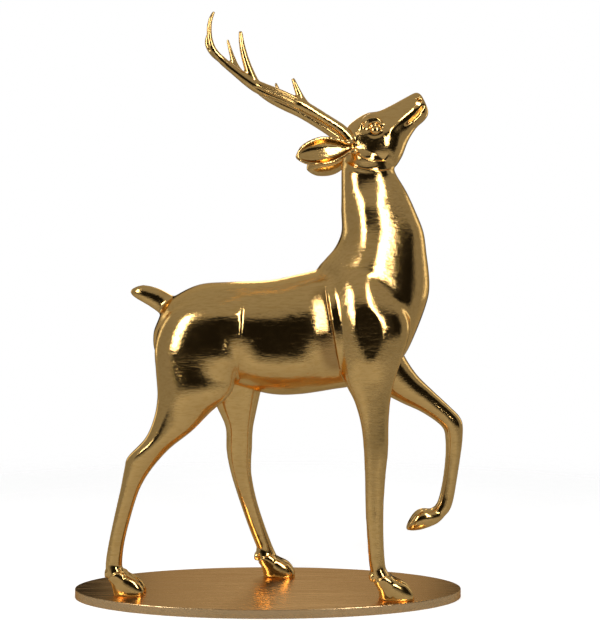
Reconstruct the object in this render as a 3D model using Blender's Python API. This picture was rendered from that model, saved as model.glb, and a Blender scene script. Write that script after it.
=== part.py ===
"""Gilded fiberglass stag, head raised and one foreleg lifted, standing on a thin oval plate.

Metres, +Z up. The origin is the centre of the plate's underside. The stag faces +X.
"""
import math

import bmesh
import bpy
from mathutils import Matrix, Vector

# The plate.
PLATE_LENGTH = 1.456
PLATE_WIDTH = 0.600
PLATE_THICKNESS = 0.032
PLATE_EDGE_RADIUS = 0.002
PLATE_SEGMENTS = 96
EDGE_STEPS = 2

# The stag, from its soles to the tip of the near antler.
STAG_HEIGHT = 2.1277
SOLE_CLEARANCE = 0.0003

# The stag's form is drawn in parts of its height, with z counted from the soles.
HEIGHT_IN_PARTS = 212.8
PART = STAG_HEIGHT / HEIGHT_IN_PARTS
SOLE_LEVEL = PLATE_THICKNESS + SOLE_CLEARANCE

# How the cast skin is resolved: the fusing grid, the softening of its creases and the facets kept.
FUSE_GRID = 0.5 * PART
SOFTEN_PASSES = 3
SOFTEN_FACTOR = 0.5
STAG_TRIANGLES = 8600
RING_SIDES = 28
TUBE_SIDES = 14
RINGS_PER_SPAN = 4
SOLE_OVERRUN = 1.5

# A rib is (x, y, z, depth, width, turn): its centre, its depth fore and aft, its width across,
# and the angle in degrees that its depth line makes with +X as seen from the near side.
BARREL = (
    (-43.0, 0.0, 93.5, 8.0, 9.0, -90),
    (-41.4, 0.0, 94.2, 13.8, 15.0, -90),
    (-38.5, 0.0, 95.0, 24.5, 22.0, -90),
    (-33.0, 0.0, 95.3, 32.3, 27.5, -90),
    (-25.0, 0.0, 96.5, 36.5, 30.5, -90),
    (-14.0, 0.0, 96.1, 38.8, 32.0, -90),
    (1.0, 0.0, 94.6, 43.2, 33.5, -90),
    (12.0, 0.0, 95.7, 45.6, 34.0, -90),
    (24.0, 0.0, 97.7, 46.2, 33.0, -90),
    (36.0, 0.0, 98.8, 43.6, 31.0, -90),
    (46.0, 0.0, 101.0, 34.0, 26.0, -90),
    (52.0, 0.0, 102.5, 22.0, 18.0, -90),
)
NECK = (
    (36.5, 0.0, 170.0, 12.0, 9.0, 0),
    (37.5, 0.0, 163.0, 18.5, 12.5, 0),
    (37.9, 0.0, 157.0, 20.4, 13.5, 0),
    (40.1, 0.0, 149.4, 24.9, 15.5, 0),
    (41.8, 0.0, 141.8, 28.4, 18.0, 0),
    (43.3, 0.0, 134.3, 31.2, 20.5, 0),
    (42.6, 0.0, 127.0, 35.0, 23.5, -4),
    (41.2, 0.0, 122.0, 39.4, 26.0, -6),
    (39.8, 0.0, 116.5, 43.0, 28.0, -7),
    (41.1, 0.0, 108.2, 38.2, 29.5, -1),
    (40.9, 0.0, 97.4, 31.0, 28.0, 0),
    (40.4, 0.0, 87.5, 23.0, 22.0, 2),
    (40.0, 0.0, 82.0, 13.0, 12.0, 2),
)
HEAD = (
    (29.6, 0.0, 168.0, 5.0, 4.5, -80),
    (31.5, 0.0, 168.2, 12.5, 10.0, -78),
    (36.9, 0.0, 167.8, 20.0, 14.0, -71),
    (42.2, 0.0, 168.7, 23.2, 15.6, -66),
    (46.1, 0.0, 171.1, 19.8, 14.0, -64),
    (49.6, 0.0, 175.3, 15.1, 10.6, -63),
    (53.4, 0.0, 179.0, 12.2, 8.6, -64),
    (56.4, 0.0, 181.2, 11.2, 7.8, -63),
    (58.2, 0.0, 182.6, 10.0, 6.8, -64),
    (59.2, 0.0, 183.1, 7.4, 5.0, -65),
)
TAIL = (
    (-34.5, 0.0, 104.0, 8.6, 6.0, -121),
    (-38.6, 0.0, 106.8, 8.6, 5.8, -121),
    (-43.2, 0.0, 109.6, 7.9, 5.4, -116),
    (-48.4, 0.0, 111.6, 6.2, 4.6, -114),
    (-51.2, 0.0, 112.0, 3.4, 3.0, -115),
    (-52.2, 0.0, 112.3, 1.4, 1.3, -115),
)
NEAR_HIND_LEG = (
    (-22.5, -6.5, 110.0, 16.0, 9.0, 8),
    (-24.0, -8.5, 104.0, 28.0, 15.0, 9),
    (-25.5, -9.8, 93.7, 32.0, 17.0, 7),
    (-25.7, -10.6, 83.0, 30.6, 15.5, 5),
    (-26.6, -11.0, 73.5, 27.6, 12.8, 3),
    (-31.0, -11.2, 66.0, 21.6, 10.4, 7),
    (-36.1, -11.2, 58.8, 17.9, 8.8, 9),
    (-43.6, -11.0, 52.0, 15.2, 7.4, 9),
    (-47.3, -10.6, 46.4, 10.4, 6.4, 0),
    (-50.5, -10.2, 38.4, 7.2, 5.4, 0),
    (-53.6, -9.7, 27.2, 6.2, 4.8, 0),
    (-55.7, -9.2, 18.0, 5.9, 4.8, 0),
    (-56.6, -9.0, 11.0, 6.1, 5.6, 0),
    (-56.2, -9.0, 7.0, 6.4, 6.0, 0),
)
FAR_HIND_LEG = (
    (-23.0, 6.5, 110.0, 16.0, 9.0, 8),
    (-23.5, 8.5, 104.0, 27.0, 15.0, 9),
    (-21.5, 10.2, 93.0, 29.0, 16.0, 9),
    (-17.0, 11.6, 83.0, 26.0, 14.0, 11),
    (-13.2, 12.4, 74.5, 21.0, 12.0, 11),
    (-12.2, 12.9, 66.0, 15.3, 9.8, 6),
    (-11.7, 13.3, 58.9, 11.0, 8.0, 0),
    (-11.8, 13.8, 51.0, 10.3, 7.0, 0),
    (-11.6, 14.2, 45.5, 9.2, 6.4, 2),
    (-10.8, 14.7, 39.5, 7.9, 5.6, 6),
    (-8.4, 15.4, 30.0, 6.8, 5.0, 10),
    (-5.1, 16.2, 19.8, 6.4, 4.8, 12),
    (-2.2, 16.8, 12.0, 6.2, 5.4, 8),
    (-0.6, 17.0, 7.6, 7.0, 6.0, 4),
)
NEAR_FORELEG = (
    (35.2, -5.5, 122.0, 11.0, 8.0, -14),
    (36.0, -8.6, 115.5, 22.0, 12.5, -14),
    (37.4, -10.9, 106.0, 28.0, 15.5, -9),
    (38.6, -11.8, 97.0, 27.6, 16.0, -1),
    (38.3, -12.0, 87.0, 23.2, 14.0, 4),
    (37.8, -12.2, 78.5, 18.5, 11.8, 5),
    (38.6, -12.6, 71.3, 13.4, 9.6, 3),
    (39.4, -13.0, 62.5, 10.3, 8.0, 0),
    (39.8, -13.4, 53.4, 9.1, 7.2, 0),
    (39.5, -13.8, 44.3, 7.7, 6.0, 0),
    (39.2, -14.3, 31.5, 6.7, 5.0, 0),
    (39.6, -14.8, 19.0, 6.0, 4.8, 0),
    (40.2, -15.0, 11.5, 5.9, 5.4, 0),
    (41.2, -15.0, 8.0, 6.4, 6.0, 0),
)
FAR_FORELEG = (
    (34.0, 5.5, 121.0, 11.0, 8.0, -14),
    (35.0, 8.6, 114.0, 22.0, 12.5, -10),
    (37.5, 10.9, 104.0, 27.0, 15.0, 8),
    (41.5, 11.9, 93.5, 25.5, 15.0, 36),
    (47.0, 12.6, 82.5, 19.5, 13.0, 62),
    (54.4, 13.3, 74.7, 13.3, 10.2, 64),
    (61.8, 13.8, 69.3, 9.8, 8.0, 55),
    (68.4, 14.0, 64.1, 8.3, 7.2, 44),
    (72.2, 14.0, 59.9, 8.2, 7.0, 28),
    (72.7, 14.0, 54.4, 7.0, 6.2, 8),
    (72.2, 14.0, 47.0, 6.0, 5.2, 0),
    (71.0, 14.0, 38.2, 5.7, 4.7, 0),
    (69.6, 14.0, 31.0, 5.9, 4.8, -8),
    (68.1, 14.0, 27.2, 6.0, 5.4, -22),
    (65.4, 14.0, 24.8, 6.0, 5.8, -40),
)
# The lifted hoof folds back under the knee and ends in a point.
LIFTED_HOOF = (
    (66.2, 14.0, 25.2, 5.8, 4.6, -34),
    (64.0, 14.0, 24.2, 6.8, 5.0, -52),
    (61.4, 14.0, 23.5, 7.4, 5.0, -62),
    (58.3, 14.0, 22.1, 6.5, 4.8, -70),
    (55.6, 14.0, 20.5, 3.9, 3.8, -78),
    (53.9, 14.0, 19.1, 1.3, 1.4, -80),
)

LIFTED_TOE_OFFSETS = (0.8, 1.5, 1.95, 2.1, 1.6, 0.6)

# Standing hooves: (height, heel, toe), with heel and toe counted from the ankle's own x. Each
# hoof has two toes side by side. An ankle is (x, y, reach), and its reach scales the toes.
HOOF_PROFILE = (
    (10.5, -2.8, 2.8),
    (8.6, -2.5, 4.0),
    (7.0, -2.1, 6.6),
    (5.2, -1.2, 10.0),
    (3.0, -0.3, 11.9),
    (1.0, 0.2, 12.7),
    (-SOLE_OVERRUN, 0.4, 12.6),
)
HOOF_HALF_WIDTHS = (2.6, 2.5, 2.4, 2.35, 2.35, 2.3, 2.3)
TOE_OFFSETS = (0.3, 0.9, 1.5, 1.95, 2.2, 2.35, 2.4)
ANKLES = ((-56.6, -9.0, 0.92), (-2.6, 17.0, 1.0), (40.6, -15.0, 1.0))

# An antler is a beam and two tines, each a path of (x, y, z, thickness). The near and the far
# antler differ a little: the far one rises more steeply and its tines stand further back.
NEAR_ANTLER = (
    (
        (31.5, -3.6, 167.5, 5.6),
        (27.6, -4.6, 171.7, 4.7),
        (21.4, -6.0, 175.6, 4.3),
        (14.9, -7.4, 179.1, 4.6),
        (6.4, -8.8, 183.0, 4.7),
        (-2.0, -9.9, 186.0, 4.8),
        (-6.3, -10.4, 188.2, 4.1),
        (-11.1, -10.9, 191.7, 3.4),
        (-16.5, -11.5, 196.1, 3.0),
        (-19.6, -12.6, 199.6, 2.6),
        (-20.8, -13.5, 203.6, 2.2),
        (-20.9, -14.2, 207.4, 1.9),
        (-20.2, -14.6, 210.6, 1.6),
        (-19.0, -14.8, 212.9, 1.1),
    ),
    (
        (16.9, -7.0, 178.0, 3.2),
        (13.3, -7.6, 181.6, 3.2),
        (11.2, -7.9, 185.8, 2.4),
        (9.4, -8.0, 190.4, 1.4),
    ),
    (
        (-2.8, -9.9, 185.4, 3.6),
        (-5.4, -10.3, 189.6, 3.7),
        (-7.7, -10.7, 195.8, 2.9),
        (-9.2, -10.9, 201.8, 2.3),
        (-9.7, -11.0, 206.9, 1.5),
    ),
)
FAR_ANTLER = (
    (
        (31.5, 3.6, 168.5, 5.6),
        (27.2, 4.6, 171.6, 5.0),
        (21.2, 6.0, 175.9, 4.6),
        (12.5, 7.8, 181.4, 4.4),
        (6.0, 8.9, 184.6, 4.2),
        (0.0, 9.7, 188.0, 4.0),
        (-6.0, 10.4, 192.7, 3.5),
        (-11.5, 10.8, 197.4, 3.0),
        (-17.0, 11.0, 201.4, 2.8),
        (-21.8, 11.0, 205.2, 2.6),
        (-24.0, 10.4, 209.0, 2.2),
        (-23.4, 9.2, 212.6, 1.2),
    ),
    (
        (8.6, 8.4, 183.6, 3.0),
        (5.2, 8.8, 187.0, 2.6),
        (3.7, 9.0, 190.0, 1.9),
        (2.6, 9.0, 193.2, 1.1),
    ),
    (
        (-9.4, 10.6, 195.6, 3.0),
        (-12.5, 10.8, 199.2, 2.8),
        (-14.5, 10.9, 204.4, 2.0),
        (-16.2, 10.9, 210.6, 1.1),
    ),
)

# An ear is a cupped leaf: (share of its length, breadth, cup depth), with a wall of its own.
EAR_LEAF = (
    (0.00, 4.2, 3.4),
    (0.12, 5.2, 4.0),
    (0.28, 8.6, 4.8),
    (0.46, 11.0, 5.2),
    (0.62, 11.2, 4.8),
    (0.78, 9.6, 3.8),
    (0.91, 6.6, 2.6),
    (1.00, 1.6, 1.4),
)
EAR_WALL = 1.3
EAR_WALL_OF_BREADTH = 0.4
EAR_WALL_OF_CUP = 0.6
NEAR_EAR = ((32.5, -5.5, 165.2), (10.6, -12.6, 160.2))
FAR_EAR = ((32.5, 5.5, 165.4), (14.8, 15.0, 160.5))
EAR_FACE_UP = 12.0
EAR_ARC_POINTS = 9

# The brow ridge over each eye and the eyeball: (centre, diameters), y counted outwards.
BROW = ((39.2, 5.6, 174.2), (7.5, 4.4, 4.6))
EYEBALL = ((40.4, 6.9, 171.6), (3.2, 2.4, 2.8))

LEAST_BREADTH = 0.2
LEVEL_TOLERANCE = 1e-6
SHARP_ANGLE = 35.0
GOLD = (0.66, 0.46, 0.19, 1.0)
LEAF_ROUGHNESS = 0.22
BRUSHED_ROUGHNESS = 0.38


def clear_scene():
    """Take away whatever the file opens with."""
    for thing in list(bpy.data.objects):
        bpy.data.objects.remove(thing, do_unlink=True)


def gilding(name, roughness):
    """Gold leaf: a metallic surface of the given roughness."""
    material = bpy.data.materials.new(name)
    material.use_nodes = True
    shader = material.node_tree.nodes["Principled BSDF"]
    shader.inputs["Base Color"].default_value = GOLD
    shader.inputs["Metallic"].default_value = 1.0
    shader.inputs["Roughness"].default_value = roughness
    return material


def place(x, y, z):
    """A point of the stag's form, from parts to metres."""
    return Vector((x * PART, y * PART, SOLE_LEVEL + z * PART))


def smooth_rows(rows, steps):
    """Rows of numbers, with more rows between them on a smooth curve through each column."""
    result = []
    last = len(rows) - 1
    for index in range(last):
        before = rows[max(index - 1, 0)]
        start = rows[index]
        end = rows[index + 1]
        after = rows[min(index + 2, last)]
        for step in range(steps):
            t = step / steps
            result.append(tuple(
                0.5 * (2 * b + (c - a) * t + (2 * a - 5 * b + 4 * c - d) * t ** 2
                       + (3 * b - a - 3 * c + d) * t ** 3)
                for a, b, c, d in zip(before, start, end, after)))
    result.append(tuple(rows[last]))
    return result


def skin_rings(bm, rings):
    """Join rings of points into one closed shell with a face on each end."""
    loops = [[bm.verts.new(point) for point in ring] for ring in rings]
    count = len(loops[0])
    for lower, upper in zip(loops, loops[1:]):
        for index in range(count):
            following = (index + 1) % count
            bm.faces.new((lower[index], lower[following], upper[following], upper[index]))
    bm.faces.new(tuple(reversed(loops[0])))
    bm.faces.new(tuple(loops[-1]))


def loft_ribs(bm, ribs):
    """A limb or the trunk: oval sections across the ribs."""
    rings = []
    for x, y, z, depth, width, turn in smooth_rows(ribs, RINGS_PER_SPAN):
        along = Vector((math.cos(math.radians(turn)), 0.0, math.sin(math.radians(turn))))
        centre = place(x, y, z)
        ring = []
        for index in range(RING_SIDES):
            angle = 2 * math.pi * index / RING_SIDES
            fore = along * (math.cos(angle) * max(depth, LEAST_BREADTH) / 2 * PART)
            across = Vector((0.0, math.sin(angle) * max(width, LEAST_BREADTH) / 2 * PART, 0.0))
            ring.append(centre + fore + across)
        rings.append(ring)
    skin_rings(bm, rings)


def loft_tube(bm, path):
    """A round, tapering branch along a path."""
    rows = smooth_rows(path, RINGS_PER_SPAN)
    centres = [place(row[0], row[1], row[2]) for row in rows]
    rings = []
    side = Vector((0.0, 1.0, 0.0))
    for index, row in enumerate(rows):
        ahead = centres[min(index + 1, len(rows) - 1)] - centres[max(index - 1, 0)]
        ahead.normalize()
        side = (side - ahead * side.dot(ahead)).normalized()
        up = ahead.cross(side)
        radius = row[3] / 2 * PART
        rings.append([
            centres[index] + radius * (side * math.cos(angle) + up * math.sin(angle))
            for angle in (2 * math.pi * step / TUBE_SIDES for step in range(TUBE_SIDES))])
    skin_rings(bm, rings)


def hoof(bm, ankle_x, ankle_y, reach):
    """A cloven hoof: two toes side by side, cut flat later at the soles."""
    for side in (-1, 1):
        ribs = []
        for (height, heel, toe), half_width, offset in zip(HOOF_PROFILE, HOOF_HALF_WIDTHS, TOE_OFFSETS):
            toe_reach = toe * reach
            ribs.append((ankle_x + (heel + toe_reach) / 2, ankle_y + side * offset, height,
                         toe_reach - heel, 2 * half_width, 0))
        loft_ribs(bm, ribs)


def lifted_hoof(bm):
    """The folded hoof, its two toes side by side."""
    for side in (-1, 1):
        ribs = []
        for index, (x, y, z, depth, width, turn) in enumerate(LIFTED_HOOF):
            ribs.append((x, y + side * LIFTED_TOE_OFFSETS[index], z, depth, width, turn))
        loft_ribs(bm, ribs)


def antler(bm, paths):
    """One antler: the beam and its two tines."""
    for path in paths:
        loft_tube(bm, path)


def ear(bm, root, tip, side):
    """A cupped leaf that opens outwards: crescent sections from the root to the tip."""
    start = place(*root)
    axis = place(*tip) - start
    ahead = axis.normalized()
    face = Vector((0.0, side * math.cos(math.radians(EAR_FACE_UP)), math.sin(math.radians(EAR_FACE_UP))))
    face = (face - ahead * face.dot(ahead)).normalized()
    across = ahead.cross(face)
    rings = []
    for share, breadth, cup in smooth_rows(EAR_LEAF, RINGS_PER_SPAN):
        centre = start + axis * share
        half = breadth / 2 * PART
        deep = cup * PART
        wall = min(EAR_WALL, breadth * EAR_WALL_OF_BREADTH, cup * EAR_WALL_OF_CUP) * PART
        ring = []
        for step in range(EAR_ARC_POINTS):
            angle = math.pi * step / (EAR_ARC_POINTS - 1)
            ring.append(centre + across * (math.cos(angle) * half)
                        + face * (deep / 2 - math.sin(angle) * deep))
        for step in range(1, EAR_ARC_POINTS - 1):
            angle = math.pi * (1 - step / (EAR_ARC_POINTS - 1))
            ring.append(centre + across * (math.cos(angle) * (half - wall))
                        + face * (deep / 2 - math.sin(angle) * (deep - wall)))
        rings.append(ring)
    skin_rings(bm, rings)


def oval_ball(bm, centre, size):
    """A small rounded mass, given by its centre and its three diameters in parts."""
    scale = Matrix.Diagonal((size[0] / 2 * PART, size[1] / 2 * PART, size[2] / 2 * PART, 1.0))
    bmesh.ops.create_icosphere(bm, subdivisions=3, radius=1.0,
                               matrix=Matrix.Translation(place(*centre)) @ scale)


def build_stag():
    """The whole animal, fused into one cast skin and cut flat at the soles."""
    bm = bmesh.new()
    for ribs in (BARREL, NECK, HEAD, TAIL, NEAR_HIND_LEG, FAR_HIND_LEG, NEAR_FORELEG, FAR_FORELEG):
        loft_ribs(bm, ribs)
    for ankle_x, ankle_y, reach in ANKLES:
        hoof(bm, ankle_x, ankle_y, reach)
    lifted_hoof(bm)
    for side, (root, tip), paths in ((-1, NEAR_EAR, NEAR_ANTLER), (1, FAR_EAR, FAR_ANTLER)):
        antler(bm, paths)
        ear(bm, root, tip, side)
        for (x, out, z), diameters in (BROW, EYEBALL):
            oval_ball(bm, (x, side * out, z), diameters)
    bmesh.ops.recalc_face_normals(bm, faces=bm.faces)
    mesh = bpy.data.meshes.new("stag")
    bm.to_mesh(mesh)
    bm.free()
    stag = bpy.data.objects.new("stag", mesh)
    bpy.context.collection.objects.link(stag)

    fuse = stag.modifiers.new("fuse", 'REMESH')
    fuse.mode = 'VOXEL'
    fuse.voxel_size = FUSE_GRID
    soften = stag.modifiers.new("soften", 'SMOOTH')
    soften.factor = SOFTEN_FACTOR
    soften.iterations = SOFTEN_PASSES
    fused = evaluated_mesh(stag)
    triangles = sum(len(face.vertices) - 2 for face in fused.polygons)
    reduce = stag.modifiers.new("reduce", 'DECIMATE')
    reduce.ratio = min(1.0, STAG_TRIANGLES / triangles)
    bpy.data.meshes.remove(fused)

    cast = evaluated_mesh(stag)
    stag.modifiers.clear()
    cut_soles(cast)
    stag.data = cast
    bpy.data.meshes.remove(mesh)
    cast.name = "stag"
    return stag


def evaluated_mesh(thing):
    """A plain copy of the object's mesh with its modifiers applied."""
    graph = bpy.context.evaluated_depsgraph_get()
    graph.update()
    return bpy.data.meshes.new_from_object(thing.evaluated_get(graph), depsgraph=graph)


def cut_soles(mesh):
    """Cut the three standing hooves flat just above the plate and close them."""
    bm = bmesh.new()
    bm.from_mesh(mesh)
    geometry = bm.verts[:] + bm.edges[:] + bm.faces[:]
    bmesh.ops.bisect_plane(bm, geom=geometry, dist=LEVEL_TOLERANCE, plane_co=(0.0, 0.0, SOLE_LEVEL),
                           plane_no=(0.0, 0.0, 1.0), clear_inner=True)
    open_edges = [edge for edge in bm.edges if edge.is_boundary]
    bmesh.ops.holes_fill(bm, edges=open_edges, sides=0)
    bmesh.ops.triangulate(bm, faces=bm.faces[:])
    bmesh.ops.recalc_face_normals(bm, faces=bm.faces)
    bm.to_mesh(mesh)
    bm.free()


def build_plate():
    """The thin oval plate with lightly eased edges."""
    bm = bmesh.new()
    bmesh.ops.create_circle(bm, cap_ends=True, radius=0.5, segments=PLATE_SEGMENTS)
    bmesh.ops.scale(bm, vec=(PLATE_LENGTH, PLATE_WIDTH, 1.0), verts=bm.verts)
    raised = bmesh.ops.extrude_face_region(bm, geom=bm.faces[:])
    top = [item for item in raised["geom"] if isinstance(item, bmesh.types.BMVert)]
    bmesh.ops.translate(bm, vec=(0.0, 0.0, PLATE_THICKNESS), verts=top)
    bmesh.ops.recalc_face_normals(bm, faces=bm.faces)
    rims = [edge for edge in bm.edges if abs(edge.verts[0].co.z - edge.verts[1].co.z) < LEVEL_TOLERANCE]
    bmesh.ops.bevel(bm, geom=rims, offset=PLATE_EDGE_RADIUS, segments=EDGE_STEPS,
                    profile=0.5, affect='EDGES', material=-1)
    mesh = bpy.data.meshes.new("base_plate")
    bm.to_mesh(mesh)
    bm.free()
    plate = bpy.data.objects.new("base_plate", mesh)
    bpy.context.collection.objects.link(plate)
    return plate


clear_scene()
stag_object = build_stag()
stag_object.data.materials.append(gilding("gold_leaf", LEAF_ROUGHNESS))
stag_object.data.shade_smooth()
plate_object = build_plate()
plate_object.data.materials.append(gilding("brushed_gold_leaf", BRUSHED_ROUGHNESS))
plate_object.data.shade_smooth()
plate_object.data.set_sharp_from_angle(angle=math.radians(SHARP_ANGLE))
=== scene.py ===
import math

import bmesh
import bpy
import numpy as np
from mathutils import Matrix, Vector


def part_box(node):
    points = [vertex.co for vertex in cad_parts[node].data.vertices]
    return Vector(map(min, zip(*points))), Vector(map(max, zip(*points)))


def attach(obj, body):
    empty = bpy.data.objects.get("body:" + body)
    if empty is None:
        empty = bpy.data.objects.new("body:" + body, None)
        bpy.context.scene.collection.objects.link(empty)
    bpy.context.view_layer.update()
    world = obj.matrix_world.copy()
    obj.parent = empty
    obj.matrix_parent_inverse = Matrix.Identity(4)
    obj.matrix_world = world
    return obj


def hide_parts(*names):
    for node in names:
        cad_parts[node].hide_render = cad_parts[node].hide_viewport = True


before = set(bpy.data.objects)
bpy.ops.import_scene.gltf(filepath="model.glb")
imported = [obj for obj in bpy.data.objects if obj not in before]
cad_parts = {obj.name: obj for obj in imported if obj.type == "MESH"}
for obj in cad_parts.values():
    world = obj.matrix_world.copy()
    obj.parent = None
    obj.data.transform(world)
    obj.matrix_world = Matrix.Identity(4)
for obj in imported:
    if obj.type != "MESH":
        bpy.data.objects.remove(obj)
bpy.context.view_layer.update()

# The room. A pale studio floor and backdrop, and the camera at standing chest height, level, with the
# view shifted up a little so that the antlers and the plate both fit.
CAMERA_PLACE = (0.121, -3.6, 1.0)
CAMERA_LENS = 55.2
SENSOR_WIDTH = 36.0
CAMERA_SHIFT_UP = 0.034
FLOOR_REACH = 8.0
FLOOR_FADE_FROM = 1.6
FLOOR_FADE_TO = 4.6
FLOOR_LIFT = 0.60
FLOOR_SEEN = (0.93, 0.93, 0.925, 1.0)
FLOOR_MIRRORED = (0.58, 0.58, 0.58, 1.0)

camera_data = bpy.data.cameras.new("studio_camera")
camera_data.lens = CAMERA_LENS
camera_data.sensor_width = SENSOR_WIDTH
camera_data.shift_y = CAMERA_SHIFT_UP
camera_data.clip_end = 200.0
camera = bpy.data.objects.new("studio_camera", camera_data)
camera.location = CAMERA_PLACE
camera.rotation_euler = (math.radians(90.0), 0.0, 0.0)
bpy.context.collection.objects.link(camera)
bpy.context.scene.camera = camera

bpy.context.scene.view_settings.view_transform = 'Standard'


def add_node(tree, kind, **settings):
    """A shader node with its settings and its input values, the values under their socket names."""
    node = tree.nodes.new(kind)
    for name, value in settings.items():
        if name == "values":
            for socket, number in value.items():
                node.inputs[socket].default_value = number
        else:
            setattr(node, name, value)
    return node


floor_mesh = bpy.data.meshes.new("studio_floor")
floor_bm = bmesh.new()
bmesh.ops.create_grid(floor_bm, x_segments=8, y_segments=8, size=FLOOR_REACH)
floor_bm.to_mesh(floor_mesh)
floor_bm.free()
floor = bpy.data.objects.new("studio_floor", floor_mesh)
bpy.context.collection.objects.link(floor)
floor_paint = bpy.data.materials.new("pale_floor")
floor_paint.use_nodes = True
floor_shader = floor_paint.node_tree.nodes["Principled BSDF"]
floor_shader.inputs["Roughness"].default_value = 0.7
floor_shader.inputs["Specular IOR Level"].default_value = 0.2
floor_shader.inputs["Emission Color"].default_value = (1.0, 1.0, 1.0, 1.0)
# the floor melts into the white room away from the statue
floor_tree = floor_paint.node_tree
floor_at = floor_tree.nodes.new("ShaderNodeTexCoord")
away = add_node(floor_tree, "ShaderNodeVectorMath", operation='LENGTH')
floor_tree.links.new(floor_at.outputs["Object"], away.inputs[0])
melt = add_node(floor_tree, "ShaderNodeMapRange", interpolation_type='SMOOTHSTEP',
                values={"From Min": FLOOR_FADE_FROM, "From Max": FLOOR_FADE_TO,
                        "To Min": 1.0, "To Max": 0.0})
floor_tree.links.new(away.outputs["Value"], melt.inputs["Value"])
floor_tree.links.new(melt.outputs["Result"], floor_shader.inputs["Alpha"])
# it is lit white for the photographer and pale grey where the gilding mirrors it
floor_seen = floor_tree.nodes.new("ShaderNodeLightPath")
floor_tone = add_node(floor_tree, "ShaderNodeMix", data_type='RGBA')
floor_tone.inputs[6].default_value = FLOOR_MIRRORED
floor_tone.inputs[7].default_value = FLOOR_SEEN
floor_tree.links.new(floor_seen.outputs["Is Camera Ray"], floor_tone.inputs[0])
floor_tree.links.new(floor_tone.outputs[2], floor_shader.inputs["Base Color"])
floor_lift = add_node(floor_tree, "ShaderNodeMath", operation='MULTIPLY')
floor_lift.inputs[1].default_value = FLOOR_LIFT
floor_tree.links.new(floor_seen.outputs["Is Camera Ray"], floor_lift.inputs[0])
floor_tree.links.new(floor_lift.outputs[0], floor_shader.inputs["Emission Strength"])
floor_mesh.materials.append(floor_paint)

# The light: an even grey room, a little brighter overhead and behind, with tall soft boxes and dark
# curtains standing round it, the widest curtain behind the photographer. The curtains give the gilding
# its brown reflections and the boxes its white glints. They show in reflections alone.
ROOM_GREY = 0.26
ROOM_OVERHEAD = 0.06
ROOM_BEHIND = 0.10
CURTAIN_RADIUS = 4.2
CURTAINS = ((-52.0, 76.0), (138.0, 166.0), (194.0, 222.0))
CURTAIN_TOP = 3.7
FOLD_DEGREES = 4.0
FOOT_FADE = (0.15, 0.60)
HEAD_FADE = (3.6, 3.0)
SIDE_FADE = (0.0, 8.0)

world = bpy.data.worlds.new("studio_room")
bpy.context.scene.world = world
world.use_nodes = True
room = world.node_tree
room.nodes.clear()
way = room.nodes.new("ShaderNodeTexCoord")
parts_of_way = room.nodes.new("ShaderNodeSeparateXYZ")
room.links.new(way.outputs["Generated"], parts_of_way.inputs[0])
overhead = add_node(room, "ShaderNodeMapRange", interpolation_type='SMOOTHSTEP',
                    values={"From Min": 0.4, "From Max": 0.9, "To Min": ROOM_GREY,
                            "To Max": ROOM_GREY + ROOM_OVERHEAD})
room.links.new(parts_of_way.outputs["Z"], overhead.inputs["Value"])
behind = add_node(room, "ShaderNodeMapRange", interpolation_type='SMOOTHSTEP',
                  values={"From Min": 0.1, "From Max": 0.9, "To Min": 0.0, "To Max": ROOM_BEHIND})
room.links.new(parts_of_way.outputs["Y"], behind.inputs["Value"])
mirrored = add_node(room, "ShaderNodeMath", operation='ADD')
room.links.new(overhead.outputs["Result"], mirrored.inputs[0])
room.links.new(behind.outputs["Result"], mirrored.inputs[1])
seen = room.nodes.new("ShaderNodeLightPath")
strength = add_node(room, "ShaderNodeMix", data_type='FLOAT', values={3: 1.0})
room.links.new(seen.outputs["Is Camera Ray"], strength.inputs[0])
room.links.new(mirrored.outputs[0], strength.inputs[2])
glow = add_node(room, "ShaderNodeBackground", values={"Color": (1.0, 1.0, 1.0, 1.0)})
room.links.new(strength.outputs[0], glow.inputs["Strength"])
sky = room.nodes.new("ShaderNodeOutputWorld")
room.links.new(glow.outputs[0], sky.inputs["Surface"])

# An azimuth is counted in degrees from the photographer's side, to the right. Each point of a curtain
# keeps how many degrees it is from the nearer edge.
curtain_bm = bmesh.new()
across = curtain_bm.verts.layers.float.new("across")
for left, right in CURTAINS:
    folds = round((right - left) / FOLD_DEGREES)
    before = None
    for fold in range(folds + 1):
        azimuth = math.radians(left + (right - left) * fold / folds)
        foot = curtain_bm.verts.new((math.sin(azimuth) * CURTAIN_RADIUS,
                                     -math.cos(azimuth) * CURTAIN_RADIUS, 0.0))
        foot[across] = (right - left) / 2 - abs(left + (right - left) * (fold / folds) - (left + right) / 2)
        if before is not None:
            curtain_bm.edges.new((before, foot))
        before = foot
hung = bmesh.ops.extrude_edge_only(curtain_bm, edges=curtain_bm.edges[:])
bmesh.ops.translate(curtain_bm, vec=(0.0, 0.0, CURTAIN_TOP),
                    verts=[item for item in hung["geom"] if isinstance(item, bmesh.types.BMVert)])
curtain_mesh = bpy.data.meshes.new("dark_curtain")
curtain_bm.to_mesh(curtain_mesh)
curtain_bm.free()
curtain = bpy.data.objects.new("dark_curtain", curtain_mesh)
bpy.context.collection.objects.link(curtain)
curtain.visible_camera = False
curtain.visible_shadow = False
curtain_cloth = bpy.data.materials.new("dark_curtain")
curtain_cloth.use_nodes = True
weave = curtain_cloth.node_tree
cloth = weave.nodes["Principled BSDF"]
cloth.inputs["Base Color"].default_value = (0.02, 0.018, 0.016, 1.0)
cloth.inputs["Roughness"].default_value = 1.0
cloth.inputs["Specular IOR Level"].default_value = 0.0
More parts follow.
